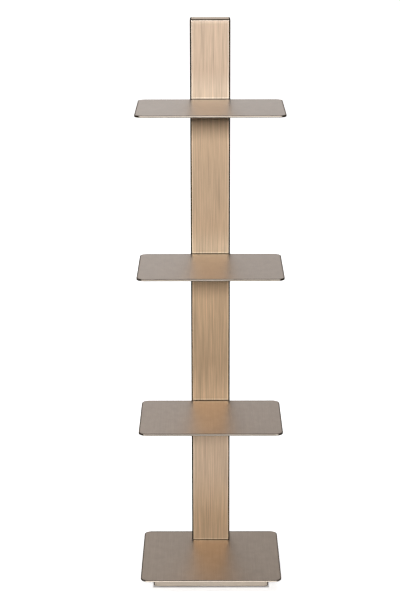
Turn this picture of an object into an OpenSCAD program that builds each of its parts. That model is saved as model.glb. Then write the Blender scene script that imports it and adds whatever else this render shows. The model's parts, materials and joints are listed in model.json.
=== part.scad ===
// Floor-standing column shelf. A tall folded column stands at the back of a weighted base,
// and three thin shelves plug into its front face. Everything is in millimetres, +Z is up,
// the shelves reach towards -Y, and the origin is the middle of the footprint on the floor.

/* [Column] */
// Width of the column's front face
col_w = 80; // [74:1:100]
// Depth of the column from its front face to its back face
col_d = 45; // [43:1:60]
// Height of the column above the top shelf
col_rise = 157; // [80:1:260]
// Thickness of the column's folded sheet
sheet_t = 2; // [1.5:0.25:2.5]
// Outside radius of the column's folded edges
bend_r = 3; // [3:0.25:4]
// Width of the lip folded inwards behind each side wall
lip_w = 14; // [13:1:18]
// Thickness of the flat cover that closes the column's back
cover_t = 2; // [2:0.25:3]
// Distance from either end of the rear cover to its nearest screws
cover_screw_margin = 26; // [12:1:60]
// Rows of screws up the rear cover
cover_screw_rows = 4; // [3:1:6]
// Depth of the cap's skirt inside the column
skirt_h = 10; // [6:1:20]
// Wall of the cap's skirt
skirt_t = 2; // [1.5:0.5:3]
// Distance from the column's top to the tether thread in the rear cover
tether_drop = 60; // [50:1:100]

/* [Shelves] */
// Width of each shelf and of the base plate
shelf_w = 286; // [220:1:360]
// Reach of each shelf in front of the column
shelf_reach = 200; // [160:1:240]
// Thickness of a shelf
shelf_t = 4; // [3:0.5:6]
// Height from one shelf's top to the next
shelf_step = 316; // [240:1:360]
// Corner radius of the shelves and the base plate, seen from above
corner_r = 15; // [6:1:30]
// Rounding of the plates' upper and lower edges
edge_r = 0.8; // [0.3:0.1:1.2]

/* [Shelf fixing] */
// Flat face left beside each slot in the column
slot_margin = 5; // [4:1:8]
// Play of a shelf's tongue in its slot, on each side
slot_play = 0.4; // [0.2:0.1:0.8]
// Joint line between a shelf's back edge and the column
shelf_gap = 0.3; // [0.1:0.1:0.6]
// Space left behind the tongue, inside the column
tongue_gap = 5; // [4:0.5:8]
// Thickness of the folded bracket under each tongue
bracket_t = 3; // [2:0.5:4]
// Height of the bracket's side flanges
bracket_h = 32; // [20:1:60]
// Outside radius of the bracket's folds
bracket_r = 4; // [4:0.5:6]
// Distance between a shelf's two screws
shelf_screw_pitch = 38; // [30:1:42]

/* [Base] */
// Thickness of the base plate
base_t = 3; // [2.5:0.5:6]
// Height of the plinth bar
plinth_h = 22; // [21:1:40]
// Thickness of the plinth bar
plinth_t = 3; // [2:0.5:5]
// Inset of the plinth from the base plate's front and side edges
plinth_inset = 26; // [16:1:36]
// Inset of the plinth from the base plate's back edge
plinth_back_inset = 6; // [4:0.5:7]
// Outside corner radius of the plinth
plinth_r = 8; // [6:1:14]
// Thickness of the steel ballast under the base plate
ballast_t = 12; // [8:1:13]
// Gap between the ballast and the plinth bar
ballast_gap = 1; // [0.5:0.25:2]
// Width between the ballast's two columns of studs
stud_pitch_x = 150; // [110:1:170]
// Depth between the ballast's two rows of studs
stud_pitch_y = 90; // [60:1:110]
// How far the studs sit forward of the plinth's middle
stud_shift = 20; // [12:1:24]
// Thickness of the steel block in the column's foot
block_t = 12; // [8:1:20]
// Width between the column's holding-down bolts
bolt_pitch_x = 50; // [40:1:52]
// Depth between the column's holding-down bolts
bolt_pitch_y = 12; // [11.5:0.5:13]

/* [Feet] */
// Gap under the plinth, set by the levelling feet
foot_gap = 2; // [1:0.5:5]
// Diameter of a foot
foot_d = 26; // [18:1:32]
// Thickness of a foot's steel disc
foot_disc_t = 4; // [3:0.5:5]
// Thickness of the rubber pad under a foot
pad_t = 2; // [1:0.5:3]
// Distance from the ballast's edges to a foot's centre
foot_inset = 20; // [18:1:30]
// Gap between a foot's stem and the base plate
stem_gap = 1; // [0.5:0.5:4]

/* [Fasteners] */
// Diameter of a shelf screw
shelf_screw_d = 5; // [4:0.5:5]
// Diameter of a rear cover screw
cover_screw_d = 4; // [3:0.5:4]
// Length of a rear cover screw
cover_screw_l = 6; // [5:0.5:7]
// Diameter of a holding-down bolt
bolt_d = 6; // [5:0.5:6]
// Length of a holding-down bolt under its head
bolt_l = 25; // [22:1:27]
// Diameter of a ballast stud
stud_d = 6; // [5:0.5:8]
// Diameter of a foot's threaded stem
stem_d = 8; // [6:1:10]
// Tapped hole of the tether thread
tether_d = 5; // [4:0.5:6]
// Length of the tether nut
tether_l = 14; // [12:1:18]

/* [Fits] */
// Gap between a piece and the column wall that it slides along
fit_gap = 0.2; // [0.1:0.05:0.4]
// Gap around a screw in its thread
thread_gap = 0.1; // [0.05:0.05:0.2]
// Gap around a screw in a clearance hole
screw_gap = 0.3; // [0.2:0.05:0.5]
// Gap at either end of the rear cover
cover_gap = 0.3; // [0.2:0.1:1]

/* [Hidden] */
$fn = 64;
BRONZE = [0.74, 0.61, 0.49];
BRONZE_TOP = [0.66, 0.60, 0.54];
STEEL = [0.55, 0.56, 0.58];
ZINC = [0.76, 0.77, 0.78];
RUBBER = [0.12, 0.12, 0.12];
// How far a cutter runs past the face that it cuts
past = 1;

// Footprint, with the column's faces along Y
depth = col_d + shelf_reach;
y_back = depth / 2;
y_front = -depth / 2;
y_col = y_back - col_d;
y_lip = y_back - cover_t;

// Space inside the column
in_w = col_w - 2 * sheet_t;
in_d = col_d - cover_t - 2 * sheet_t;
in_r = bend_r - sheet_t;
y_in = y_col + sheet_t;
y_in_back = y_in + in_d;
y_in_mid = (y_in + y_in_back) / 2;

// Levels, from the floor up
z_plinth = foot_gap;
z_base = z_plinth + plinth_h;
z_base_top = z_base + base_t;
function shelf_top(i) = z_base_top + i * shelf_step;
// Shelves over the base plate, which the levels below count from the lowest
shelf_count = 3;
upper_level = shelf_count;
middle_level = shelf_count - 1;
lower_level = shelf_count - 2;
z_top = shelf_top(upper_level) + col_rise;
cap_t = bend_r;
z_cap = z_top - cap_t;
z_ballast = z_base - ballast_t;

// Tongue and slot
tongue_w = col_w - 2 * (bend_r + slot_margin);
y_tongue = y_in_back - tongue_gap;
y_bracket = y_in + in_r;
y_shelf_screw = (y_bracket + y_tongue) / 2;

// Rear cover
cover_w = col_w - 2 * bend_r;
cover_z0 = z_base_top + cover_gap;
cover_z1 = z_cap - cover_gap;
cover_screw_x = (cover_w + col_w - 2 * lip_w) / 4;
cover_screw_z0 = cover_z0 + cover_screw_margin;
cover_screw_step = (cover_z1 - cover_z0 - 2 * cover_screw_margin) / (cover_screw_rows - 1);

// Plinth and ballast
plinth_w = shelf_w - 2 * plinth_inset;
plinth_d = depth - plinth_inset - plinth_back_inset;
plinth_y = (plinth_inset - plinth_back_inset) / 2;
ballast_w = plinth_w - 2 * (plinth_t + ballast_gap);
ballast_d = plinth_d - 2 * (plinth_t + ballast_gap);
ballast_r = plinth_r - plinth_t - ballast_gap;

// Rows of fasteners and feet, as [x, y] places
function corners(w, d) = [for (sx = [-1, 1], sy = [-1, 1]) [sx * w / 2, sy * d / 2]];
bolt_places = [for (p = corners(bolt_pitch_x, bolt_pitch_y)) p + [0, y_in_mid]];
stud_places = [for (p = corners(stud_pitch_x, stud_pitch_y)) p + [0, plinth_y - stud_shift]];
foot_places = [
    for (p = corners(ballast_w - 2 * foot_inset, ballast_d - 2 * foot_inset)) p + [0, plinth_y]
];

// Proportions of standard fasteners, as multiples of the thread
washer_ratio = 2;
washer_t_ratio = 0.22;
nut_af_ratio = 1.65;
nut_h_ratio = 0.8;
head_ratio = 1.7;
socket_ratio = 0.8;
countersink_ratio = 1.85;
button_h_ratio = 0.55;
countersunk_socket_ratio = 0.6;
countersunk_socket_h_ratio = 0.25;
// Tail of a screw or stud that shows past its nut
thread_tail = 2;

// Wall of the tether nut, its flush head and the bulge that grips the cover
tether_wall = 2;
tether_body_r = tether_d / 2 + tether_wall;
tether_head_h = 1;
tether_head_r = tether_body_r + tether_head_h;
tether_bulge = 1.6;
tether_bulge_l = 3;

// A rectangle with true round corners, centred on the origin
module rounded_rect(w, d, r) {
    square([w - 2 * r, d], center = true);
    square([w, d - 2 * r], center = true);
    for (p = corners(w - 2 * r, d - 2 * r)) {
        translate(p) circle(r);
    }
}

// Half section of a plate's edge: flat from the axis outwards, then rounded above and below
module edge_section(reach, t, e) {
    square([reach - e, t]);
    translate([0, e]) square([reach, t - 2 * e]);
    for (z = [e, t - e]) {
        translate([reach - e, z]) circle(e);
    }
}

// A plate with round corners in plan and rounded upper and lower edges
module soft_plate(w, d, t, r, e) {
    long = w - 2 * r;
    wide = d - 2 * r;
    translate([-long / 2, -wide / 2, 0]) cube([long, wide, t]);
    for (s = [0, 1]) {
        mirror([s, 0, 0]) translate([long / 2, wide / 2, 0])
            rotate([90, 0, 0]) linear_extrude(wide) edge_section(r, t, e);
        mirror([0, s, 0]) translate([-long / 2, wide / 2, 0])
            rotate([90, 0, 90]) linear_extrude(long) edge_section(r, t, e);
        for (q = [0, 1]) {
            mirror([s, 0, 0]) mirror([0, q, 0]) translate([long / 2, wide / 2, 0])
                rotate_extrude(angle = 90) edge_section(r, t, e);
        }
    }
}

// A hexagon by its width across flats
module hexagon(af) {
    circle(d = af / cos(30), $fn = 6);
}

// A plain washer lying on z = 0
module washer(d) {
    linear_extrude(d * washer_t_ratio) difference() {
        circle(d * washer_ratio / 2);
        circle(d / 2 + screw_gap);
    }
}

// A hexagon nut lying on z = 0
module nut(d) {
    linear_extrude(d * nut_h_ratio) difference() {
        hexagon(d * nut_af_ratio);
        circle(d / 2 + thread_gap);
    }
}

// A socket screw: its seat is z = 0, its head above, its shank below
module socket_screw(d, length, head_h) {
    socket_z = head_h / 2;
    translate([0, 0, -length]) cylinder(h = length + socket_z, d = d);
    difference() {
        cylinder(h = head_h, d = d * head_ratio);
        translate([0, 0, socket_z]) linear_extrude(head_h) hexagon(d * socket_ratio);
    }
}

// The column's folded outline, open at the back between the two lips
module shell_outline() {
    mid = (y_col + y_lip) / 2;
    difference() {
        translate([0, mid]) rounded_rect(col_w, y_lip - y_col, bend_r);
        translate([0, y_in_mid]) rounded_rect(in_w, in_d, in_r);
        translate([-col_w / 2 + lip_w, y_in_mid]) square([col_w - 2 * lip_w, in_d]);
    }
}

// Places things at every rear cover screw, with their axis out of the column's back
module at_cover_screws(y) {
    for (sx = [-1, 1], i = [0 : cover_screw_rows - 1]) {
        translate([sx * cover_screw_x, y, cover_screw_z0 + i * cover_screw_step])
            rotate([-90, 0, 0]) children();
    }
}

// Places things at every shelf's two screws, at a height over that shelf's top
module at_shelf_screws(z) {
    for (i = [lower_level : upper_level], sx = [-1, 1]) {
        translate([sx * shelf_screw_pitch / 2, y_shelf_screw, shelf_top(i) + z]) children();
    }
}

// Countersunk head with its flat face on z = 0 and its cone below
module countersunk_head(d, gap) {
    head_d = d * countersink_ratio;
    head_h = (head_d - d) / 2;
    translate([0, 0, -head_h]) cylinder(h = head_h, r1 = d / 2 + gap, r2 = head_d / 2 + gap);
}

module column_shell() {
    slot_w = tongue_w + 2 * slot_play;
    slot_h = shelf_t + 2 * slot_play;
    color(BRONZE) difference() {
        translate([0, 0, z_base_top]) linear_extrude(z_cap - z_base_top) shell_outline();
        for (i = [lower_level : upper_level]) {
            translate([-slot_w / 2, y_col - past, shelf_top(i) - shelf_t - slot_play])
                cube([slot_w, sheet_t + 2 * past, slot_h]);
        }
        at_cover_screws(y_in_back - past)
            cylinder(h = sheet_t + 2 * past, d = cover_screw_d + 2 * thread_gap);
    }
}

// The cap's rim is rounded over as the column's folded edges are
module column_cap() {
    plan_w = col_w - 2 * cap_t;
    plan_d = col_d - 2 * cap_t;
    mid = (y_col + y_back) / 2;
    color(BRONZE_TOP) {
        translate([0, mid, z_cap]) intersection() {
            union() {
                translate([-plan_w / 2, -plan_d / 2, 0]) cube([plan_w, plan_d, cap_t]);
                for (s = [0, 1]) {
                    mirror([s, 0, 0]) translate([plan_w / 2, plan_d / 2, 0])
                        rotate([90, 0, 0]) linear_extrude(plan_d) quarter(cap_t);
                    mirror([0, s, 0]) translate([-plan_w / 2, plan_d / 2, 0])
                        rotate([90, 0, 90]) linear_extrude(plan_w) quarter(cap_t);
                    for (q = [0, 1]) {
                        mirror([s, 0, 0]) mirror([0, q, 0]) translate([plan_w / 2, plan_d / 2, 0])
                            rotate_extrude(angle = 90) quarter(cap_t);
                    }
                }
            }
            translate([-col_w / 2, -col_d / 2, 0]) cube([col_w, col_d, cap_t]);
        }
        translate([0, y_in_mid, z_cap - skirt_h]) linear_extrude(skirt_h) difference() {
            rounded_rect(in_w - 2 * fit_gap, in_d - 2 * fit_gap, in_r);
            square([in_w - 2 * (fit_gap + skirt_t), in_d - 2 * (fit_gap + skirt_t)], center = true);
        }
    }
}

// A quarter disc in the first quadrant
module quarter(r) {
    intersection() {
        circle(r);
        square(r);
    }
}

module rear_cover() {
    color(BRONZE) difference() {
        translate([-cover_w / 2, y_lip, cover_z0]) cube([cover_w, cover_t, cover_z1 - cover_z0]);
        at_cover_screws(y_lip - past)
            cylinder(h = cover_t + 2 * past, d = cover_screw_d + 2 * screw_gap);
        at_cover_screws(y_back) countersunk_head(cover_screw_d, screw_gap);
        translate([0, y_lip - past, z_top - tether_drop]) rotate([-90, 0, 0])
            cylinder(h = cover_t + 2 * past, r = tether_body_r + fit_gap);
        translate([0, y_back, z_top - tether_drop]) rotate([-90, 0, 0])
            translate([0, 0, -tether_head_h])
                cylinder(h = tether_head_h, r1 = tether_body_r + fit_gap, r2 = tether_head_r + fit_gap);
    }
}

module rear_cover_screws() {
    socket_h = cover_screw_d * countersunk_socket_h_ratio;
    color(BRONZE) at_cover_screws(y_back) difference() {
        union() {
            countersunk_head(cover_screw_d, 0);
            translate([0, 0, -cover_screw_l]) cylinder(h = cover_screw_l, d = cover_screw_d);
        }
        translate([0, 0, -socket_h]) linear_extrude(socket_h + past)
            hexagon(cover_screw_d * countersunk_socket_ratio);
    }
}

module tether_nut() {
    bulge_r = tether_body_r + tether_bulge;
    color(ZINC) translate([0, y_back, z_top - tether_drop]) rotate([-90, 0, 0]) rotate_extrude()
        polygon([
            [tether_d / 2, 0],
            [tether_head_r, 0],
            [tether_body_r, -tether_head_h],
            [tether_body_r, -cover_t],
            [bulge_r, -cover_t],
            [bulge_r, -cover_t - tether_bulge_l],
            [tether_body_r, -cover_t - tether_bulge_l],
            [tether_body_r, -tether_l],
            [tether_d / 2, -tether_l]
        ]);
}

// One shelf: the plate in front of the column and the tongue that runs into it
module shelf(i) {
    plate_d = shelf_reach - shelf_gap;
    color(BRONZE_TOP) difference() {
        translate([0, 0, shelf_top(i) - shelf_t]) union() {
            translate([0, y_front + plate_d / 2, 0])
                soft_plate(shelf_w, plate_d, shelf_t, corner_r, edge_r);
            translate([-tongue_w / 2, y_col - corner_r, 0])
                cube([tongue_w, y_tongue - y_col + corner_r, shelf_t]);
        }
        at_shelf_screws(-shelf_t - past)
            cylinder(h = shelf_t + 2 * past, d = shelf_screw_d + 2 * screw_gap);
    }
}

module shelf_upper() {
    shelf(upper_level);
}

module shelf_middle() {
    shelf(middle_level);
}

module shelf_lower() {
    shelf(lower_level);
}

// One bracket: a folded channel, open downwards, that carries a tongue on its web
module bracket(i) {
    w = in_w - 2 * fit_gap;
    inner = w - 2 * bracket_t;
    color(STEEL) difference() {
        translate([0, y_tongue, shelf_top(i) - shelf_t]) rotate([90, 0, 0])
            linear_extrude(y_tongue - y_bracket) difference() {
                union() {
                    translate([-w / 2, -bracket_h]) square([w, bracket_h - bracket_r]);
                    translate([-w / 2 + bracket_r, -bracket_r]) square([w - 2 * bracket_r, bracket_r]);
                    for (sx = [-1, 1]) {
                        translate([sx * (w / 2 - bracket_r), -bracket_r]) circle(bracket_r);
                    }
                }
                translate([-inner / 2, -bracket_h - past])
                    square([inner, bracket_h + past - bracket_r]);
                translate([-inner / 2 + bracket_r - bracket_t, -bracket_r - past])
                    square([inner - 2 * (bracket_r - bracket_t), bracket_r + past - bracket_t]);
                for (sx = [-1, 1]) {
                    translate([sx * (w / 2 - bracket_r), -bracket_r]) circle(bracket_r - bracket_t);
                }
            }
        at_shelf_screws(-shelf_t - bracket_t - past)
            cylinder(h = bracket_t + 2 * past, d = shelf_screw_d + 2 * screw_gap);
    }
}

module bracket_upper() {
    bracket(upper_level);
}

module bracket_middle() {
    bracket(middle_level);
}

module bracket_lower() {
    bracket(lower_level);
}

module shelf_screws() {
    washer_t = shelf_screw_d * washer_t_ratio;
    nut_h = shelf_screw_d * nut_h_ratio;
    length = washer_t + shelf_t + bracket_t + nut_h + thread_tail;
    color(ZINC) at_shelf_screws(washer_t)
        socket_screw(shelf_screw_d, length, shelf_screw_d * button_h_ratio);
}

module shelf_screw_washers() {
    color(ZINC) at_shelf_screws(0) washer(shelf_screw_d);
}

module bracket_weld_nuts() {
    nut_h = shelf_screw_d * nut_h_ratio;
    color(STEEL) at_shelf_screws(-shelf_t - bracket_t - nut_h) nut(shelf_screw_d);
}

module base_plate() {
    color(BRONZE_TOP) difference() {
        translate([0, 0, z_base]) soft_plate(shelf_w, depth, base_t, corner_r, edge_r);
        for (p = bolt_places) {
            translate([p.x, p.y, z_base - past])
                cylinder(h = base_t + 2 * past, d = bolt_d + 2 * screw_gap);
        }
    }
}

module plinth_frame() {
    color(BRONZE) translate([0, plinth_y, z_plinth]) linear_extrude(plinth_h) difference() {
        rounded_rect(plinth_w, plinth_d, plinth_r);
        rounded_rect(plinth_w - 2 * plinth_t, plinth_d - 2 * plinth_t, plinth_r - plinth_t);
    }
}

module ballast_plate() {
    color(STEEL) translate([0, 0, z_ballast]) linear_extrude(ballast_t) difference() {
        translate([0, plinth_y]) rounded_rect(ballast_w, ballast_d, ballast_r);
        for (p = bolt_places) {
            translate(p) circle(d = bolt_d + 2 * screw_gap);
        }
        for (p = stud_places) {
            translate(p) circle(d = stud_d + 2 * screw_gap);
        }
        for (p = foot_places) {
            translate(p) circle(d = stem_d + 2 * thread_gap);
        }
    }
}

module ballast_studs() {
    stack = stud_d * (washer_t_ratio + nut_h_ratio);
    length = ballast_t + stack + thread_tail;
    color(STEEL) for (p = stud_places) {
        translate([p.x, p.y, z_base - length]) cylinder(h = length, d = stud_d);
    }
}

module ballast_nuts() {
    stack = stud_d * (washer_t_ratio + nut_h_ratio);
    color(ZINC) for (p = stud_places) {
        translate([p.x, p.y, z_ballast - stack]) nut(stud_d);
    }
}

module ballast_washers() {
    color(ZINC) for (p = stud_places) {
        translate([p.x, p.y, z_ballast - stud_d * washer_t_ratio]) washer(stud_d);
    }
}

module column_foot_block() {
    color(STEEL) translate([0, 0, z_base_top]) linear_extrude(block_t) difference() {
        translate([0, y_in_mid]) rounded_rect(in_w - 2 * fit_gap, in_d - 2 * fit_gap, in_r);
        for (p = bolt_places) {
            translate(p) circle(d = bolt_d + 2 * thread_gap);
        }
    }
}

module column_bolts() {
    washer_t = bolt_d * washer_t_ratio;
    color(ZINC) for (p = bolt_places) {
        translate([p.x, p.y, z_ballast - washer_t]) rotate([180, 0, 0])
            socket_screw(bolt_d, bolt_l, bolt_d);
    }
}

module column_bolt_washers() {
    color(ZINC) for (p = bolt_places) {
        translate([p.x, p.y, z_ballast - bolt_d * washer_t_ratio]) washer(bolt_d);
    }
}

// A foot: a disc that stands on the pad and a stem screwed up into the ballast
module levelling_feet() {
    stem_top = z_base - stem_gap;
    color(ZINC) for (p = foot_places) {
        translate([p.x, p.y, pad_t]) {
            cylinder(h = foot_disc_t, d = foot_d);
            cylinder(h = stem_top - pad_t, d = stem_d);
        }
    }
}

module foot_pads() {
    color(RUBBER) for (p = foot_places) {
        translate([p.x, p.y, 0]) cylinder(h = pad_t, d = foot_d);
    }
}

column_shell();
column_cap();
rear_cover();
rear_cover_screws();
tether_nut();
shelf_upper();
shelf_middle();
shelf_lower();
bracket_upper();
bracket_middle();
bracket_lower();
shelf_screws();
shelf_screw_washers();
bracket_weld_nuts();
base_plate();
plinth_frame();
ballast_plate();
ballast_studs();
ballast_nuts();
ballast_washers();
column_foot_block();
column_bolts();
column_bolt_washers();
levelling_feet();
foot_pads();
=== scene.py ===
"""Looks, studio and camera for the floor-standing column shelf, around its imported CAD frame.

It adds no shape. Lengths are in metres, and all marks are painted by object position.
"""

import json
import math

import bpy
from mathutils import Matrix, Vector


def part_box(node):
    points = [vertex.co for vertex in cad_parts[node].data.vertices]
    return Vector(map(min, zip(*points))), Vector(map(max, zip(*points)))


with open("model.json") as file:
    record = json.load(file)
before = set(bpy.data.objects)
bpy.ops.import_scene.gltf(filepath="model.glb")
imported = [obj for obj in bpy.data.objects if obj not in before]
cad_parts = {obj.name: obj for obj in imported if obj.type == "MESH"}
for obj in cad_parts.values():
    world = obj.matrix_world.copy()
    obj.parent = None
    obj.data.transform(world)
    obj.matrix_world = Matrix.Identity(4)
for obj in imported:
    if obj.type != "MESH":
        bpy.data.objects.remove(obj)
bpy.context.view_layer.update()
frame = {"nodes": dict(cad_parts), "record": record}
nodes = frame["nodes"]


# Camera: the photograph's viewpoint, from the fit to its edges
IMAGE_W = 400
FOCAL_PX = 1617.2
SENSOR_MM = 36.0
CLIP_NEAR = 0.05
CLIP_FAR = 200.0
CAMERA_AT = Vector((-0.00448, -3.11635, 1.46908))
PITCH = 0.27699
YAW = -0.00533
ROLL = -0.003285


def make_camera():
    """A camera that looks towards +Y, turned by yaw, pitch and roll."""
    flat = math.cos(PITCH)
    forward = Vector((math.sin(YAW) * flat, math.cos(YAW) * flat, -math.sin(PITCH)))
    level = Vector((math.cos(YAW), -math.sin(YAW), 0.0))
    down = forward.cross(level)
    right = math.cos(ROLL) * level - math.sin(ROLL) * down
    up = -(math.sin(ROLL) * level + math.cos(ROLL) * down)
    data = bpy.data.cameras.new("camera")
    data.sensor_fit = "HORIZONTAL"
    data.sensor_width = SENSOR_MM
    data.lens = SENSOR_MM * FOCAL_PX / IMAGE_W
    data.clip_start = CLIP_NEAR
    data.clip_end = CLIP_FAR
    camera = bpy.data.objects.new("camera", data)
    turn = Matrix((right, up, -forward)).transposed().to_4x4()
    camera.matrix_world = Matrix.Translation(CAMERA_AT) @ turn
    bpy.context.scene.collection.objects.link(camera)
    bpy.context.scene.camera = camera


# Shader building blocks, with the range in which noise mostly lies
NOISE_LOW = 0.3
NOISE_HIGH = 0.7


class Tree:
    """A node tree with short calls for the nodes that the materials use."""

    def __init__(self, owner):
        owner.use_nodes = True
        self.tree = owner.node_tree
        self.tree.nodes.clear()

    def add(self, kind, inputs=None, **settings):
        node = self.tree.nodes.new(kind)
        for key, value in settings.items():
            setattr(node, key, value)
        for key, value in (inputs or {}).items():
            self.put(value, node.inputs[key])
        return node

    def put(self, value, socket):
        if isinstance(value, bpy.types.NodeSocket):
            self.tree.links.new(value, socket)
        else:
            socket.default_value = value

    def math(self, operation, a, b=0.0, c=0.0):
        return self.add("ShaderNodeMath", {0: a, 1: b, 2: c}, operation=operation).outputs[0]

    def product(self, *values):
        result = values[0]
        for value in values[1:]:
            result = self.math("MULTIPLY", result, value)
        return result

    def highest(self, *values):
        result = values[0]
        for value in values[1:]:
            result = self.math("MAXIMUM", result, value)
        return result

    def vector(self, operation, a, b=(0.0, 0.0, 0.0)):
        node = self.add("ShaderNodeVectorMath", {0: a, 1: b}, operation=operation)
        return node.outputs["Value" if operation in ("DOT_PRODUCT", "LENGTH") else "Vector"]

    def split(self, vector):
        return self.add("ShaderNodeSeparateXYZ", {0: vector}).outputs

    def span(self, value, low, high, to_low=0.0, to_high=1.0, smooth=True):
        """The value, carried from the range low to high over to the range to_low to to_high."""
        inputs = {
            "Value": value,
            "From Min": low,
            "From Max": high,
            "To Min": to_low,
            "To Max": to_high,
        }
        kind = "SMOOTHSTEP" if smooth else "LINEAR"
        return self.add("ShaderNodeMapRange", inputs, interpolation_type=kind).outputs["Result"]

    def fade(self, value, full, gone, level=1.0):
        """The level up to full, and 0 past gone."""
        return self.span(value, full, gone, level, 0.0)

    def band(self, value, start, rise, fall, end):
        """1 where the value lies between rise and fall, and 0 outside start and end."""
        return self.product(self.span(value, start, rise), self.fade(value, fall, end))

    def ramp(self, value, stops, smooth=False):
        """A level that follows the (value, level) stops."""
        level = stops[0][1]
        for (a, b), (c, d) in zip(stops, stops[1:]):
            level = self.math("ADD", level, self.span(value, a, c, 0.0, d - b, smooth))
        return level

    def blend(self, factor, a, b):
        return self.add("ShaderNodeMix", {0: factor, 2: a, 3: b}, data_type="FLOAT").outputs[0]

    def mix(self, factor, a, b, blend="MIX"):
        node = self.add("ShaderNodeMix", data_type="RGBA", blend_type=blend)
        self.put(factor, node.inputs[0])
        self.put(a, node.inputs[6])
        self.put(b, node.inputs[7])
        return node.outputs[2]

    def tinted(self, color, factor, tint):
        """The colour, multiplied by the tint where the factor is 1."""
        return self.mix(factor, color, self.mix(1.0, color, (*tint, 1.0), "MULTIPLY"))

    def noise(self, where, detail, rough):
        """Noise with one cell for each unit of the coordinates."""
        inputs = {"Vector": where, "Scale": 1.0, "Detail": detail, "Roughness": rough}
        return self.add("ShaderNodeTexNoise", inputs).outputs["Fac"]

    def spread(self, noise, low, high, smooth=True):
        """The noise's usual range, carried over to low to high."""
        return self.span(noise, NOISE_LOW, NOISE_HIGH, low, high, smooth)

    def place(self, stretch=(1.0, 1.0, 1.0), offset=(0.0, 0.0, 0.0)):
        """Object coordinates in metres, stretched to this many noise cells per metre."""
        coords = self.add("ShaderNodeTexCoord").outputs["Object"]
        inputs = {"Vector": coords, "Location": offset, "Scale": stretch}
        return self.add("ShaderNodeMapping", inputs).outputs["Vector"]

    def normal(self):
        return self.add("ShaderNodeNewGeometry").outputs["True Normal"]

    def bump(self, strength, distance, height):
        inputs = {"Strength": strength, "Distance": distance, "Height": height}
        return self.add("ShaderNodeBump", inputs).outputs["Normal"]

    def surface(self, shader, output="ShaderNodeOutputMaterial"):
        self.add(output, {"Surface": shader.outputs[0]})


# The cosine of a rounded edge's turn, from where it starts to show to where it shows in full
EDGE_TURN = (0.995, 0.93)
BEVEL_SAMPLES = 4


def across_grain(tree, grain):
    """The direction that lies across the grain, where brushing blurs reflections most."""
    return tree.vector("NORMALIZE", tree.vector("CROSS_PRODUCT", tree.normal(), grain))


def edge_mask(tree, radius):
    """1 on sharp or rounded-over edges, where polishing and handling brighten the metal."""
    bevel = tree.add("ShaderNodeBevel", {"Radius": radius}, samples=BEVEL_SAMPLES)
    turn = tree.vector("DOT_PRODUCT", bevel.outputs["Normal"], tree.normal())
    return tree.span(turn, *EDGE_TURN)


# What the marks follow: the plates' tops from the base upwards, the column and the plates' sheet
PLATES = ("base_plate", "shelf_lower", "shelf_middle", "shelf_upper")
PLATE_TOPS = [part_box(name)[1][2] for name in PLATES]
PLATE_STEP = PLATE_TOPS[1] - PLATE_TOPS[0]
COLUMN_BOX = (Vector(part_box("column_shell")[0]), Vector(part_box("column_cap")[1]))
SHELF_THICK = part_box("shelf_upper")[1][2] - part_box("shelf_upper")[0][2]
BASE_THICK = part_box("base_plate")[1][2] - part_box("base_plate")[0][2]
CORNER_R = 0.015

# Column marks, by distance: painted dark reflections along the folds and the cap's rim, painted
# shade in the joints over the plates, and painted highlight lines beside them. Two numbers are
# where a mark starts to fade and where it ends, and four are a band's start, rise, fall and end.
# A noise has its detail and its roughness
FOLD_DARK = (0.0027, 0.0032)
FOLD_LINE = (0.0029, 0.0034, 0.0044, 0.0058)
FOLD_WAVER = 0.0002
WAVER_CELLS = (60.0, 60.0, 14.0)
WAVER_NOISE = (3.0, 0.6)
RIM_DARK = (0.0016, 0.0026)
RIM_INWARD = (0.0028, 0.0036)
RIM_LINE = (0.0028, 0.0036, 0.0050, 0.0100)
RIM_LINE_LEVEL = 0.5
JOINT_DARK = (0.0007, 0.0014)
JOINT_LINE = (0.0012, 0.0017, 0.0028, 0.0042)
FRONT_DEPTH = (0.0010, 0.0030)
FOOT_HEIGHT = (0.004, 0.008)

# Painted glare: the plates' reflected light, painted on the column's face, over the base plate and
# then each shelf
GLOW_REACH = (0.062, 0.095, 0.062, 0.062)
GLOW_LEVEL = (0.72, 0.85, 0.72, 0.72)
GLOW_COOL = (0.0, 0.0, 1.0, 1.0)
WARM_GLOW = (1.20, 1.24, 1.28, 1.0)
COOL_GLOW = (1.2, 1.3, 1.38, 1.0)
BAY_BLEND = 0.01

# Painted light: where the column's face is painted paler and cooler, standing in for how the light
# falls on it. More and more from under the upper shelf to over it, and in bands, each with its
# level and its start, rise, fall and end
PALER_ABOVE = (0.88, 1.02)
PALER_BANDS = ((0.70, 0.06, 0.20, 0.335, 0.345), (0.35, 0.655, 0.67, 0.90, 0.95))
PALER_TINT = (0.88, 0.95, 1.11)

# Plate marks, painted dark in place of the dark reflections on the rounded edges and the shade
# where a plate meets the column. The first three have their level last: the border, the back edge
# and, by how far the surface faces up, the rounded-over top edge
BORDER_DARK = (0.0008, 0.0034, 0.85)
BACK_DARK = (0.0010, 0.0060, 0.8)
ROUNDED_DARK = (0.97, 0.995, 0.75)

# The painted shade along the lower part of the cut edge, by its distance from the underside, and
# its levels. Depths count from a little over each plate's top, or else the top would lie a whole
# step deep
LOWER_LINE = (0.0012, 0.0006)
SHELF_LOWER_DARK = 0.9
BASE_LOWER_DARK = 0.35
TOP_CLEARANCE = 0.0002

# Facing up less than this is the cut edge, and facing to the front like this, its corners
CUT_EDGE_UPWARD = (0.2, 0.35)
CORNER_TURNED = (0.10, 0.22, 0.90, 0.98)

# Plinth marks: how far sideways and how far round its corners are painted dark, in place of dark
# reflections, and its lower line of painted shade
BAR_SIDEWAYS = (0.70, 0.80)
BAR_TURNED = (0.04, 0.12)
BAR_LOWER_LINE = (0.0003, 0.0010)
BAR_LOWER_DARK = 0.6


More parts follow.
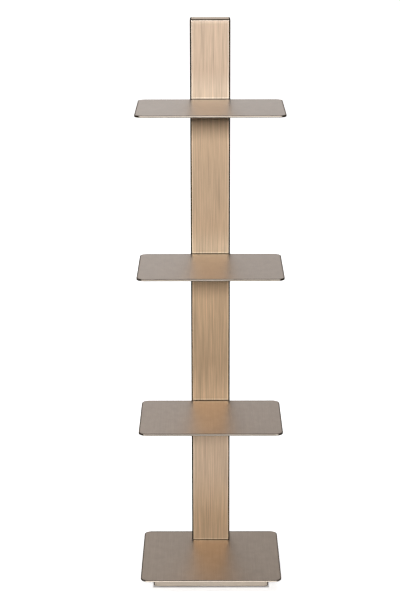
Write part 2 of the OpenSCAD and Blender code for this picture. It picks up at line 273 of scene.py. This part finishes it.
def by_bay(tree, height, values):
    """A value for the column's face over each plate, from the base plate upwards."""
    stops = [(PLATE_TOPS[0], values[0])]
    for top, below, above in zip(PLATE_TOPS[1:], values, values[1:]):
        stops += [(top - BAY_BLEND, below), (top, above)]
    return tree.ramp(height, stops)


def on_front(tree, at):
    """1 on the column's front face."""
    return tree.fade(tree.math("SUBTRACT", at["Y"], COLUMN_BOX[0].y), *FRONT_DEPTH)


def column_color_with_painted_light(tree, color):
    """The column's colour, with painted light: paler and cooler on parts of its face."""
    at = tree.split(tree.place())
    pale = tree.span(at["Z"], *PALER_ABOVE)
    for level, *stops in PALER_BANDS:
        pale = tree.math("MAXIMUM", pale, tree.product(tree.band(at["Z"], *stops), level))
    return tree.tinted(color, tree.product(pale, on_front(tree, at)), PALER_TINT)


def column_marks(tree):
    """Painted dark reflections on folds and rim, shade in joints, highlight lines and glare."""
    low, high = COLUMN_BOX
    half = (high - low) / 2
    middle = (high + low) / 2
    at = tree.split(tree.place())
    side = tree.math("SUBTRACT", half.x, tree.math("ABSOLUTE", at["X"]))
    from_middle = tree.math("ABSOLUTE", tree.math("SUBTRACT", at["Y"], middle.y))
    face = tree.math("SUBTRACT", half.y, from_middle)
    squares = tree.math("ADD", tree.product(side, side), tree.product(face, face))
    waver = tree.noise(tree.place(WAVER_CELLS), *WAVER_NOISE)
    waver = tree.spread(waver, -FOLD_WAVER, FOLD_WAVER)
    fold = tree.math("ADD", tree.math("SQRT", squares), waver)
    inward = tree.math("MINIMUM", side, face)
    below_top = tree.math("SUBTRACT", high.z, at["Z"])
    above_base = tree.math("SUBTRACT", at["Z"], PLATE_TOPS[0])
    above_plate = tree.math("MODULO", above_base, PLATE_STEP)
    front = on_front(tree, at)
    foot = tree.fade(tree.math("SUBTRACT", at["Z"], low.z), *FOOT_HEIGHT)
    met = tree.math("MAXIMUM", front, foot)
    # Painted dark: dark reflections on the rounded folds and the cap's rim, and shade in the
    # joints
    dark = tree.highest(
        tree.fade(fold, *FOLD_DARK),
        tree.product(tree.fade(below_top, *RIM_DARK), tree.fade(inward, *RIM_INWARD)),
        tree.product(met, tree.fade(above_plate, *JOINT_DARK)),
    )
    # Painted highlight lines beside the folds, over each joint and under the cap's rim
    line = tree.highest(
        tree.band(fold, *FOLD_LINE),
        tree.product(met, tree.band(above_plate, *JOINT_LINE)),
        tree.product(front, RIM_LINE_LEVEL, tree.band(below_top, *RIM_LINE)),
    )
    # Painted glare: the face is painted lighter low in each bay, over each plate
    reach = by_bay(tree, at["Z"], GLOW_REACH)
    level = by_bay(tree, at["Z"], GLOW_LEVEL)
    glow = tree.product(front, tree.product(tree.fade(above_plate, 0.0, reach), level))
    glow_tint = tree.mix(by_bay(tree, at["Z"], GLOW_COOL), WARM_GLOW, COOL_GLOW)
    return dark, line, glow, glow_tint


def plate_marks(tree, back, thick, lower_dark):
    """Painted dark edges of a plate with its back edge at back, and the cut edge's highlight mask.
    """
    low, high = (Vector(c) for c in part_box("base_plate"))
    half = (high.x - CORNER_R, (back - low.y) / 2 - CORNER_R, 1.0)
    middle = (0.0, (back + low.y) / 2, 0.0)
    place = tree.place()
    from_middle = tree.vector("ABSOLUTE", tree.vector("SUBTRACT", place, middle))
    past = tree.vector("SUBTRACT", from_middle, half)
    parts = tree.split(past)
    corner = tree.vector("LENGTH", tree.vector("MAXIMUM", past, (0.0, 0.0, 0.0)))
    straight = tree.math("MINIMUM", tree.math("MAXIMUM", parts["X"], parts["Y"]), 0.0)
    inside = tree.math("SUBTRACT", CORNER_R, tree.math("ADD", corner, straight))
    facing = tree.split(tree.vector("ABSOLUTE", tree.normal()))
    cut = tree.fade(facing["Z"], *CUT_EDGE_UPWARD)
    turned = tree.band(facing["Y"], *CORNER_TURNED)
    at = tree.split(place)
    behind = tree.math("SUBTRACT", back, at["Y"])
    from_top = tree.math("SUBTRACT", PLATE_TOPS[-1] + TOP_CLEARANCE, at["Z"])
    below_top = tree.math("MODULO", from_top, PLATE_STEP)
    starts, ends = (thick - distance for distance in LOWER_LINE)
    # Painted dark reflections on the rounded border and top edge, and painted shade along the back
    # edge
    border = tree.highest(
        tree.fade(inside, *BORDER_DARK),
        tree.fade(behind, *BACK_DARK),
        tree.fade(facing["Z"], *ROUNDED_DARK),
    )
    dark = tree.highest(
        tree.product(border, tree.math("SUBTRACT", 1.0, cut)),
        # Painted dark reflection on the cut edge's rounded front corners
        tree.product(turned, cut),
        # Painted shade along the cut edge's lower part, under the plate
        tree.span(below_top, starts, ends, 0.0, lower_dark),
    )
    return dark, cut


def bar_marks(tree):
    """Painted dark reflection on the plinth's round corners and painted shade along its lower
    edge.
    """
    facing = tree.split(tree.normal())
    sideways = tree.span(tree.math("ABSOLUTE", facing["X"]), *BAR_SIDEWAYS)
    turned = tree.span(tree.math("ABSOLUTE", facing["Y"]), *BAR_TURNED)
    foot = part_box("plinth_frame")[0][2]
    full, gone = (foot + distance for distance in BAR_LOWER_LINE)
    lower = tree.fade(tree.split(tree.place())["Z"], full, gone, BAR_LOWER_DARK)
    return tree.math("MAXIMUM", tree.product(sideways, turned), lower)


# Brushed metal: grain directions, tipped slightly so that no face lies square to them, noise
# cells per metre, and each noise's detail and roughness
GRAIN_UP = (0.02, 0.03, 1.0)
GRAIN_X = (1.0, 0.03, 0.05)
GRAIN_Y = (0.03, 1.0, 0.05)
STREAKS_UP = (560.0, 560.0, 7.0)
STREAKS_LEVEL = (12.0, 12.0, 1300.0)
STREAKS_Y = (900.0, 9.0, 900.0)
STREAK_NOISE = (3.0, 0.62)
HAIR_FINER = 3.4
HAIR_NOISE = (2.0, 0.6)
HAIRLINE = 0.45
CLOUD = (9.0, 9.0, 9.0)
CLOUD_NOISE = (3.0, 0.5)
CLOUD_SHADE = (0.98, 1.02)
CLOUD_ROUGH = (0.35, 0.75, -0.01, 0.015)
MOTTLE = (70.0, 45.0, 45.0)
MOTTLE_NOISE = (3.0, 0.65)
ROUGH_SPREAD = 0.03
BRUSHED_BUMP = 0.35
BRUSHED_SEEDS = (3.1, 1.7, 0.9)

COLUMN_COLOR = (0.607, 0.435, 0.281)
CAP_COLOR = (0.46, 0.36, 0.26)
PLATE_COLOR = (0.323, 0.269, 0.226)
BASE_COLOR = (0.298, 0.247, 0.203)
PLINTH_COLOR = (0.435, 0.375, 0.31)
# The tint of the column's painted highlight lines
HIGHLIGHT_LINE_TINT = (1.30, 1.40, 1.50)
# The plates' cut edges are painted in this light colour, a painted highlight
CUT_EDGE_HIGHLIGHT_COLOR = (0.86, 0.76, 0.65, 1.0)
EDGE_ROUGHER = 0.16
# Colour, added roughness and specular level of the dark marks, which are painted shade and dark
# reflections, made dull and not metallic
PAINTED_SHADE_COLOR = (0.020, 0.013, 0.008, 1.0)
PAINTED_SHADE_ROUGHER = 0.1
PAINTED_SHADE_SPECULAR = 0.0


def seeded(seed, steps):
    """An offset that gives each material its own piece of the noise."""
    return tuple(seed * step for step in steps)


def brushed_metal(
    name, color, grain, streaks, seed, marks, contrast, blotch, roughness, anisotropy, depth
):
    """Brushed metal. The streaks and blotches vary its colour by contrast and blotch."""
    material = bpy.data.materials.new(name)
    tree = Tree(material)
    offset = seeded(seed, BRUSHED_SEEDS)
    finer = tuple(HAIR_FINER * cells for cells in streaks)
    fine = tree.noise(tree.place(streaks, offset), *STREAK_NOISE)
    hair = tree.noise(tree.place(finer, offset), *HAIR_NOISE)
    cloud = tree.noise(tree.place(CLOUD, offset), *CLOUD_NOISE)
    mottle = tree.noise(tree.place(MOTTLE, offset), *MOTTLE_NOISE)
    hairline = HAIRLINE * contrast
    shade = tree.product(
        tree.spread(fine, 1.0 - contrast, 1.0 + contrast, smooth=False),
        tree.spread(hair, 1.0 - hairline, 1.0 + hairline, smooth=False),
        tree.spread(cloud, *CLOUD_SHADE),
        tree.spread(mottle, 1.0 - blotch, 1.0 + blotch, smooth=False),
    )
    coat = (*color, 1.0)
    # On the column, painted light: paler and cooler bands on the face
    if marks == "column":
        coat = column_color_with_painted_light(tree, coat)
    grey = tree.add("ShaderNodeCombineColor", {0: shade, 1: shade, 2: shade}).outputs[0]
    base = tree.mix(1.0, coat, grey, "MULTIPLY")
    rough = tree.spread(fine, roughness - ROUGH_SPREAD, roughness + ROUGH_SPREAD, smooth=False)
    rough = tree.math("ADD", rough, tree.span(cloud, *CLOUD_ROUGH))
    if marks == "column":
        dark, line, glow, glow_tint = column_marks(tree)
        # Painted glare from the plates on the column's face
        base = tree.mix(glow, base, tree.mix(1.0, base, glow_tint, "MULTIPLY"))
        # Painted highlight lines on the column
        base = tree.tinted(base, line, HIGHLIGHT_LINE_TINT)
    elif marks == "bar":
        dark = bar_marks(tree)
    else:
        if marks == "shelf":
            dark, cut = plate_marks(tree, COLUMN_BOX[0].y, SHELF_THICK, SHELF_LOWER_DARK)
        else:
            dark, cut = plate_marks(tree, COLUMN_BOX[1].y, BASE_THICK, BASE_LOWER_DARK)
        # Painted highlight on the plate's cut edge
        base = tree.mix(cut, base, CUT_EDGE_HIGHLIGHT_COLOR)
        rough = tree.math("ADD", rough, tree.product(cut, EDGE_ROUGHER))
    shader = tree.add(
        "ShaderNodeBsdfPrincipled",
        {
            # The dark marks: painted shade and dark reflections
            "Base Color": tree.mix(dark, base, PAINTED_SHADE_COLOR),
            "Metallic": tree.math("SUBTRACT", 1.0, dark),
            "Roughness": tree.math("ADD", rough, tree.product(dark, PAINTED_SHADE_ROUGHER)),
            "Anisotropic": anisotropy,
            "Specular IOR Level": PAINTED_SHADE_SPECULAR,
            "Normal": tree.bump(BRUSHED_BUMP, depth, tree.math("ADD", fine, hair)),
            "Tangent": across_grain(tree, grain),
        },
    )
    tree.surface(shader)
    return material


# Unbrushed surfaces
STEEL_SEEDS = (2.3, 1.1, 4.7)
STEEL_SPECKS = (2600.0, 2600.0, 2600.0)
SPECK_NOISE = (2.0, 0.5)
BLOTCH_NOISE = (4.0, 0.6)
STEEL_BLOTCH = (0.35, 0.65)
STEEL_BUMP = (0.3, 0.00004)
STEEL_EDGE_R = 0.0005
STEEL_EDGE_LEVEL = 0.35
STEEL_EDGE_COLOR = (0.78, 0.78, 0.77, 1.0)
COAT_SEEDS = (1.9, 2.7, 3.3)
COAT_BUMP = 0.5
COAT_EDGE_R = 0.0008
COAT_DARKER = 0.8
COAT_LIGHTER = 1.25
GRIT_NOISE = (3.0, 0.6)
DUST = (35.0, 35.0, 35.0)
DUST_NOISE = (4.0, 0.6)
DUST_LEVEL = (0.5, 0.8, 0.0, 0.12)
DUST_COLOR = (0.30, 0.29, 0.28, 1.0)
PLAIN_ROUGH_SPREAD = 0.06


def scaled(color, factor):
    """The colour times the factor, up to 1."""
    return (*[min(1.0, c * factor) for c in color], 1.0)


def plain_metal(name, color, roughness, mottle, spread, seed):
    """Unbrushed metal: mill-finish or plated steel with soft mottling and fine handling marks."""
    material = bpy.data.materials.new(name)
    tree = Tree(material)
    offset = seeded(seed, STEEL_SEEDS)
    blotch = tree.noise(tree.place((mottle, mottle, mottle), offset), *BLOTCH_NOISE)
    speck = tree.noise(tree.place(STEEL_SPECKS, offset), *SPECK_NOISE)
    lighter = tree.span(blotch, *STEEL_BLOTCH)
    tint = tree.mix(lighter, scaled(color, 1 - spread), scaled(color, 1 + spread))
    edge = tree.product(edge_mask(tree, STEEL_EDGE_R), STEEL_EDGE_LEVEL)
    low, high = roughness - PLAIN_ROUGH_SPREAD, roughness + PLAIN_ROUGH_SPREAD
    shader = tree.add(
        "ShaderNodeBsdfPrincipled",
        {
            "Base Color": tree.mix(edge, tint, STEEL_EDGE_COLOR),
            "Metallic": 1.0,
            "Roughness": tree.spread(blotch, low, high),
            "Normal": tree.bump(*STEEL_BUMP, tree.math("ADD", blotch, speck)),
        },
    )
    tree.surface(shader)
    return material


def coated(name, color, roughness, grit, depth, wear_color, wear, specular, seed):
    """A non-metal surface, such as primer or rubber: fine grit, faint dust and rubbed edges."""
    material = bpy.data.materials.new(name)
    tree = Tree(material)
    offset = seeded(seed, COAT_SEEDS)
    grain = tree.noise(tree.place((grit, grit, grit), offset), *GRIT_NOISE)
    dust = tree.noise(tree.place(DUST, offset), *DUST_NOISE)
    darker, lighter = scaled(color, COAT_DARKER), scaled(color, COAT_LIGHTER)
    tint = tree.mix(tree.spread(grain, 0.0, 1.0), darker, lighter)
    tint = tree.mix(tree.span(dust, *DUST_LEVEL), tint, DUST_COLOR)
    edge = tree.product(edge_mask(tree, COAT_EDGE_R), wear)
    low, high = roughness - PLAIN_ROUGH_SPREAD, roughness + PLAIN_ROUGH_SPREAD
    shader = tree.add(
        "ShaderNodeBsdfPrincipled",
        {
            "Base Color": tree.mix(edge, tint, (*wear_color, 1.0)),
            "Roughness": tree.spread(dust, low, high),
            "Specular IOR Level": specular,
            "Normal": tree.bump(COAT_BUMP, depth, grain),
        },
    )
    tree.surface(shader)
    return material


PLATE_FINISH = {"contrast": 0.10, "blotch": 0.06, "roughness": 0.36, "anisotropy": 0.6}
PLATE_DEPTH = 0.000002

materials = {
    "bronze_column": brushed_metal(
        "bronze_column", COLUMN_COLOR, GRAIN_UP, STREAKS_UP, seed=1, marks="column",
        contrast=0.23, blotch=0.01, roughness=0.60, anisotropy=0.1, depth=0.000012,
    ),
    "bronze_plate": brushed_metal(
        "bronze_plate", PLATE_COLOR, GRAIN_Y, STREAKS_Y, seed=2, marks="shelf",
        **PLATE_FINISH, depth=PLATE_DEPTH,
    ),
    "bronze_plinth": brushed_metal(
        "bronze_plinth", PLINTH_COLOR, GRAIN_X, STREAKS_LEVEL, seed=3, marks="bar",
        contrast=0.10, blotch=0.03, roughness=0.34, anisotropy=0.4, depth=0.00002,
    ),
    "bare_steel": plain_metal(
        "bare_steel", (0.33, 0.34, 0.35), roughness=0.42, mottle=60.0, spread=0.12, seed=4
    ),
    "black_ballast": coated(
        "black_ballast", (0.02, 0.02, 0.022), roughness=0.6, grit=900.0, depth=0.0001,
        wear_color=(0.2, 0.2, 0.21), wear=0.35, specular=0.4, seed=5,
    ),
    "zinc_fastener": plain_metal(
        "zinc_fastener", (0.60, 0.62, 0.64), roughness=0.3, mottle=150.0, spread=0.06, seed=6
    ),
    "pad_rubber": coated(
        "pad_rubber", (0.018, 0.018, 0.018), roughness=0.75, grit=1500.0, depth=0.00008,
        wear_color=(0.05, 0.05, 0.05), wear=0.2, specular=0.3, seed=7,
    ),
}
own_materials = {
    "base_plate": brushed_metal(
        "bronze_base", BASE_COLOR, GRAIN_Y, STREAKS_Y, seed=9, marks="base",
        **PLATE_FINISH, depth=PLATE_DEPTH,
    ),
    "column_cap": brushed_metal(
        "bronze_cap", CAP_COLOR, GRAIN_Y, STREAKS_Y, seed=8, marks="column",
        contrast=0.04, blotch=0.02, roughness=0.42, anisotropy=0.2, depth=PLATE_DEPTH,
    ),
}


def dress_nodes():
    """Gives each node its own material, or else its slot's."""
    slot_of = {part["node"]: part["material_slot"] for part in frame["record"]["subparts"]}
    for name, node in nodes.items():
        material = own_materials.get(name, materials[slot_of[name]])
        node.data.materials.clear()
        node.data.materials.append(material)


# Studio: pale floor, with a dark cloth on it in front, and soft light from the front and above.
# The floor's glow has two distances from the middle and its strength at each
FLOOR_HALF = 30.0
FLOOR_COLOR = (0.86, 0.86, 0.86, 1.0)
FLOOR_GLOW = (0.3, 4.0, 0.55, 0.8)

# How far from the plinth's edge, where it starts, the floor's glow is whole. Under the plinth and
# just around it the glow is left out, a painted shade that darkens the floor there
PLINTH_CLEAR = 0.003

# The cloth starts to fade at the first distance sideways and ends at the second
CLOTH_HEIGHT = 0.002
CLOTH_FADE = 4.0
CLOTH_HALF = 6.0

# How bright the cloth looks, by the place along Y
CLOTH = ((-0.35, 0.9), (-0.72, 0.03), (-3.0, 0.02), (-9.0, 0.01))

# Each light's place, target, width, height and radiance
KEY_LIGHT = ((0.0, -6.5, 2.83), (0.0, 0.0, 0.6), 5.0, 1.34, 18.9)
WIDE_LIGHT = ((0.0, -6.5, 2.4), (0.0, 0.0, 0.6), 10.0, 5.0, 1.9)
TOP_LIGHT = ((0.0, -0.2, 4.2), (0.0, 0.0, 0.0), 3.5, 2.5, 3.2)


def flat_panel(name, corners, material):
    mesh = bpy.data.meshes.new(name)
    mesh.from_pydata([Vector(c) for c in corners], [], [(0, 1, 2, 3)])
    mesh.materials.append(material)
    panel = bpy.data.objects.new(name, mesh)
    bpy.context.scene.collection.objects.link(panel)
    return panel


def floor_material():
    """Pale matt floor. Its white shows to the camera and in reflections, and lights nothing."""
    material = bpy.data.materials.new("floor")
    tree = Tree(material)
    matt = tree.add("ShaderNodeBsdfDiffuse", {"Color": FLOOR_COLOR})
    path = tree.add("ShaderNodeLightPath").outputs
    seen = tree.highest(*(path["Is %s Ray" % ray] for ray in ("Camera", "Glossy", "Transmission")))
    place = tree.place()
    away = tree.span(tree.vector("LENGTH", place), *FLOOR_GLOW)
    low, high = (Vector(c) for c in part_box("plinth_frame"))
    from_middle = tree.vector("SUBTRACT", place, (low + high) / 2)
    at = tree.split(tree.vector("ABSOLUTE", from_middle))
    past_x = tree.math("SUBTRACT", at["X"], (high.x - low.x) / 2)
    past_y = tree.math("SUBTRACT", at["Y"], (high.y - low.y) / 2)
    # Painted shade: no glow under the plinth, rising to whole at PLINTH_CLEAR from its edge
    clear = tree.span(tree.math("MAXIMUM", past_x, past_y), 0.0, PLINTH_CLEAR)
    glow = tree.add("ShaderNodeEmission", {"Strength": tree.product(seen, clear, away)})
    tree.surface(tree.add("ShaderNodeAddShader", {0: matt.outputs[0], 1: glow.outputs[0]}))
    return material


def cloth_material():
    """The dark cloth, which fades to the floor's brightness at its sides."""
    material = bpy.data.materials.new("dark_cloth")
    tree = Tree(material)
    at = tree.split(tree.place())
    level = tree.ramp(at["Y"], CLOTH, smooth=True)
    sideways = tree.span(tree.math("ABSOLUTE", at["X"]), CLOTH_FADE, CLOTH_HALF)
    level = tree.blend(sideways, level, CLOTH[0][1])
    tree.surface(tree.add("ShaderNodeEmission", {"Strength": level}))
    return material


def soft_light(name, at, target, width, height, radiance):
    data = bpy.data.lights.new(name, "AREA")
    data.shape = "RECTANGLE"
    data.size = width
    data.size_y = height
    data.energy = radiance * math.pi * width * height
    light = bpy.data.objects.new(name, data)
    aim = (Vector(target) - Vector(at)).to_track_quat("-Z", "Y")
    light.matrix_world = Matrix.Translation(at) @ aim.to_matrix().to_4x4()
    light.visible_camera = False
    bpy.context.scene.collection.objects.link(light)
    return light


def share(light, state):
    """The light reaches the plates alone (INCLUDE), or everything else (EXCLUDE)."""
    group = bpy.data.collections.new(light.name + "_plates")
    for name in PLATES:
        group.objects.link(nodes[name])
    light.light_linking.receiver_collection = group
    for entry in group.collection_objects:
        entry.light_linking.link_state = state


def make_studio():
    """The floor, the cloth, which only reflections show, and the lights.

    Seen from behind, the plates would mirror the key light and burn out, so a wide and dim
    panel takes its place for them.
    """
    r = FLOOR_HALF
    flat_panel("floor", [(-r, -r, 0), (r, -r, 0), (r, r, 0), (-r, r, 0)], floor_material())
    w, z = CLOTH_HALF, CLOTH_HEIGHT
    near, far = CLOTH[0][0], CLOTH[-1][0]
    corners = [(-w, far, z), (w, far, z), (w, near, z), (-w, near, z)]
    cloth = flat_panel("dark_cloth", corners, cloth_material())
    cloth.visible_camera = False
    cloth.visible_diffuse = False
    cloth.visible_shadow = False
    cloth.visible_transmission = False
    share(soft_light("key_light", *KEY_LIGHT), "EXCLUDE")
    share(soft_light("wide_light", *WIDE_LIGHT), "INCLUDE")
    soft_light("top_light", *TOP_LIGHT)


# World brightness by the sine of elevation: behind the object, beside it and straight in front
WORLD_BACK = (
    (0.0, 0.82), (0.22, 0.90), (0.35, 0.86), (0.45, 0.93), (0.5, 0.90), (0.62, 0.35), (0.9, 0.2)
)
WORLD_SIDE = ((0.0, 0.10), (0.12, 0.20), (0.30, 0.50), (0.9, 0.3))
WORLD_FRONT = ((0.0, 0.03), (0.5, 0.05), (0.9, 0.3))

# How much brighter the back is to the left and darker to the right, and its plain share
WORLD_TILT = ((0.12, 0.16), (0.25, 0.40), (0.34, 0.62), (0.45, 0.42))
TILT_ACROSS = (-0.35, 0.35, 1.0, -1.0)
BACK_SHARE = 1.02

# Where the front turns into the sides, and the sides into the back
FRONT_TO_SIDE = (-0.93, -0.72)
SIDE_TO_BACK = (-0.35, 0.25)
WORLD_TINT = (1.035, 1.0, 0.975, 1.0)
WHITE = (1.0, 1.0, 1.0, 1.0)


def make_world():
    """Graded surroundings for the metal to reflect. The camera sees plain white."""
    world = bpy.data.worlds.new("studio")
    bpy.context.scene.world = world
    tree = Tree(world)
    direction = tree.add("ShaderNodeTexCoord").outputs["Generated"]
    way = tree.split(direction)
    front, beside, back, tilt = (
        tree.ramp(way["Z"], stops) for stops in (WORLD_FRONT, WORLD_SIDE, WORLD_BACK, WORLD_TILT)
    )
    across = tree.span(way["X"], *TILT_ACROSS, smooth=False)
    back = tree.product(back, tree.math("MULTIPLY_ADD", tilt, across, BACK_SHARE))
    level_way = tree.vector("NORMALIZE", tree.vector("MULTIPLY", direction, (1.0, 1.0, 0.0)))
    ahead = tree.split(level_way)["Y"]
    level = tree.blend(tree.span(ahead, *FRONT_TO_SIDE), front, beside)
    level = tree.blend(tree.span(way["Y"], *SIDE_TO_BACK), level, back)
    seen = tree.add("ShaderNodeLightPath").outputs["Is Camera Ray"]
    inputs = {"Color": tree.mix(seen, WORLD_TINT, WHITE), "Strength": tree.blend(seen, level, 1.0)}
    tree.surface(tree.add("ShaderNodeBackground", inputs), "ShaderNodeOutputWorld")


make_camera()
make_world()
make_studio()
dress_nodes()

bpy.context.scene.view_settings.view_transform = "Standard"
